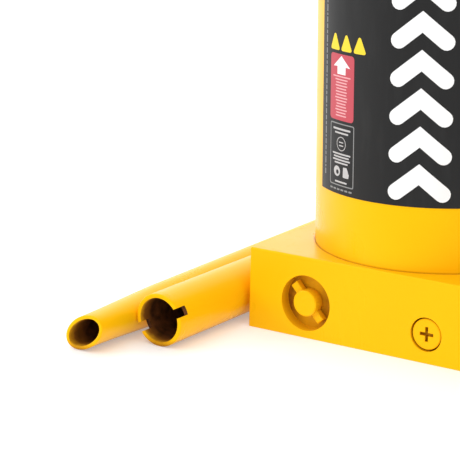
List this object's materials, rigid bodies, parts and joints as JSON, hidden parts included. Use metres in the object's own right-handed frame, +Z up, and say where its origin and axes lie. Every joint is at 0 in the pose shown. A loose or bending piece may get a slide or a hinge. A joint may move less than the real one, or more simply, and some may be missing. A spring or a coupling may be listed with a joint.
{
  "type": "hydraulic bottle jack",
  "caption": "Hydraulic bottle jack with a round reservoir on a rectangular base, a lever pump, a release valve and a two-piece tubular handle.",
  "frame": {"origin": "on the ram's axis at the underside of the base", "axes": "+Z up along the ram, +X along the base towards the pump, -Y towards the face with the valves"},
  "size_m": [0.3125, 0.4268, 0.285],
  "materials": {
    "yellow_paint": "gloss enamel, slightly worn",
    "label_film": "printed vinyl film",
    "ram_chrome": "ground and hard chromed",
    "plain_steel": "turned",
    "zinc_plate": "bright zinc",
    "spring_steel": "oiled black",
    "ball_steel": "polished",
    "forged_steel": "blackened forging",
    "bronze": "turned",
    "black_rubber": "moulded",
    "amber_polyurethane": "moulded",
    "white_nylon": "machined"
  },
  "bodies": {
    "base": {"base_block": "yellow_paint", "reservoir_tube": "yellow_paint", "label": "label_film", "base_gasket": "black_rubber", "top_gasket": "black_rubber", "cylinder_gasket": "black_rubber", "pressure_cylinder": "plain_steel", "top_nut": "yellow_paint", "ram_guide_bush": "bronze", "ram_seal": "amber_polyurethane", "ram_wiper": "amber_polyurethane", "barrel_gasket": "bronze", "pump_barrel": "yellow_paint", "pump_packing": "black_rubber", "gland_nut": "zinc_plate", "fulcrum_plate_front": "yellow_paint", "fulcrum_plate_rear": "yellow_paint", "fulcrum_pin": "plain_steel", "fulcrum_circlips": "spring_steel", "fulcrum_bolts": "zinc_plate", "fulcrum_nuts": "zinc_plate", "suction_strainer": "bronze", "suction_ball_cage": "plain_steel", "delivery_spring": "spring_steel", "delivery_plug": "yellow_paint", "overload_spring": "spring_steel", "overload_adjuster": "plain_steel", "overload_cover_plug": "yellow_paint", "passage_plugs": "yellow_paint"},
    "ram": {"ram_rod": "ram_chrome", "piston_head": "plain_steel", "piston_cup_seal": "amber_polyurethane", "piston_backup_ring": "white_nylon", "piston_wear_ring": "white_nylon", "piston_nut": "plain_steel", "saddle_snap_ring": "spring_steel"},
    "saddle": {"saddle": "forged_steel"},
    "lever": {"handle_socket": "yellow_paint"},
    "plunger": {"pump_plunger": "ram_chrome", "plunger_pin": "plain_steel", "plunger_circlips": "spring_steel"},
    "suction_valve": {"suction_ball": "ball_steel"},
    "delivery_valve": {"delivery_ball": "ball_steel"},
    "overload_valve": {"overload_ball": "ball_steel", "overload_ball_guide": "plain_steel"},
    "release_seat_ball": {"release_ball": "ball_steel"},
    "release_valve": {"release_valve_stem": "yellow_paint", "release_o_ring": "black_rubber"},
    "filler": {"filler_plug": "black_rubber"},
    "slotted_tube": {"handle_tube_slotted": "yellow_paint"},
    "flattened_tube": {"handle_tube_flattened": "yellow_paint"}
  },
  "joints": [
    {"name": "ram_lift", "type": "slide", "parent": "base", "child": "ram", "axis": [0, 0, 1], "range_m": [0, 0.18]},
    {"name": "saddle_turn", "type": "hinge", "parent": "ram", "child": "saddle", "pos_m": [0, 0, 0.28], "axis": [0, 0, 1], "continuous": true},
    {"name": "lever_pump", "type": "hinge", "parent": "base", "child": "lever", "pos_m": [0.071, 0, 0.117], "axis": [0, -1, 0], "range_deg": [0, 50]},
    {"name": "plunger_stroke", "type": "slide", "parent": "base", "child": "plunger", "axis": [0, 0, 1], "range_m": [0, 0.0221]},
    {"name": "suction_ball_lift", "type": "slide", "parent": "base", "child": "suction_valve", "axis": [0, 0, 1], "range_m": [0, 0.0015]},
    {"name": "delivery_ball_lift", "type": "slide", "parent": "base", "child": "delivery_valve", "axis": [0, 1, 0], "range_m": [0, 0.002], "stiffness_N_per_m": 400, "springref_m": -0.004, "deforming": ["delivery_spring"]},
    {"name": "overload_ball_lift", "type": "slide", "parent": "base", "child": "overload_valve", "axis": [0, -1, 0], "range_m": [0, 0.0008], "stiffness_N_per_m": 5000, "springref_m": -0.001, "deforming": ["overload_spring"]},
    {"name": "release_valve_unscrew", "type": "slide", "parent": "base", "child": "release_seat_ball", "axis": [0, -1, 0], "range_m": [0, 0.00219]},
    {"name": "release_valve_turn", "type": "hinge", "parent": "release_seat_ball", "child": "release_valve", "pos_m": [-0.0357, -0.05, 0.0174], "axis": [0, -1, 0], "range_deg": [0, 451]},
    {"name": "filler_plug_pull", "type": "slide", "parent": "base", "child": "filler", "axis": [-0.866, 0.5, 0], "range_m": [0, 0.012]},
    {"name": "slotted_tube_lift", "type": "slide", "parent": "base", "child": "slotted_tube", "axis": [0, 0, 1], "range_m": [0, 0.25]},
    {"name": "flattened_tube_lift", "type": "slide", "parent": "base", "child": "flattened_tube", "axis": [0, 0, 1], "range_m": [0, 0.25]}
  ],
  "couplings": [
    {"joint": "plunger_stroke", "follows": "lever_pump", "m_per_rad": 0.0252},
    {"joint": "release_valve_turn", "follows": "release_valve_unscrew", "rad_per_m": 3590.4}
  ]
}
